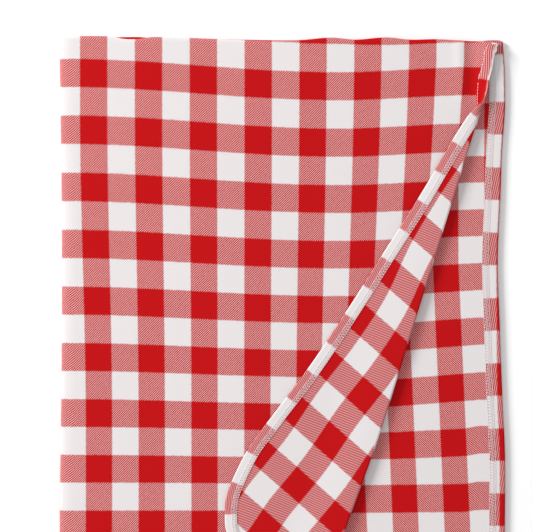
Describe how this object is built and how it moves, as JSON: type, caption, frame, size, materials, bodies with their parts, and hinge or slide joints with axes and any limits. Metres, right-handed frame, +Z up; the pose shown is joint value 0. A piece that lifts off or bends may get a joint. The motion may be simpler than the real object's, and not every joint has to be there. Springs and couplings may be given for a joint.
{
  "type": "folded tablecloth",
  "caption": "Checked woven tablecloth with an edging strip round its hem, folded in quarters into a flat pile with one corner turned back.",
  "frame": {"origin": "middle of the base of the folded pile, on the surface it lies on", "axes": "+X from the side fold to the side hem, +Y from the end hem to the folded top edge, +Z up through the pile"},
  "size_m": [0.66, 0.88, 0.0143],
  "materials": {
    "cloth": "red and white checked twill, matt",
    "edging": "the same checked twill as a folded edging strip, matt",
    "stitching": "white sewing thread with a slight sheen"
  },
  "bodies": {
    "lower_half": {"bottom_layer": "cloth", "lower_inner_layer": "cloth", "lower_top_fold": "cloth", "bottom_edging": "edging", "lower_inner_edging": "edging", "bottom_stitching": "stitching", "lower_inner_stitching": "stitching", "outer_side_fold": "cloth", "inner_side_fold": "cloth"},
    "upper_half": {"top_layer": "cloth", "upper_inner_layer": "cloth", "upper_top_fold": "cloth", "top_side_edging": "edging", "top_end_edging": "edging", "upper_inner_edging": "edging", "top_side_stitching": "stitching", "top_end_stitching": "stitching", "upper_inner_stitching": "stitching", "crease_fold": "cloth"},
    "corner_flap": {"turned_corner": "cloth", "turned_corner_edging": "edging", "turned_corner_stitching": "stitching"}
  },
  "joints": [
    {"name": "side_fold", "type": "hinge", "parent": "lower_half", "child": "upper_half", "pos_m": [-0.3262, 0, 0.0038], "axis": [0, -1, 0], "range_deg": [0, 180], "deforming": ["outer_side_fold", "inner_side_fold"]},
    {"name": "corner_fold", "type": "hinge", "parent": "upper_half", "child": "corner_flap", "pos_m": [0.3092, 0.3762, 0.01035], "axis": [0.2974, 0.9548, 0], "range_deg": [0, 180], "deforming": ["crease_fold"]}
  ]
}
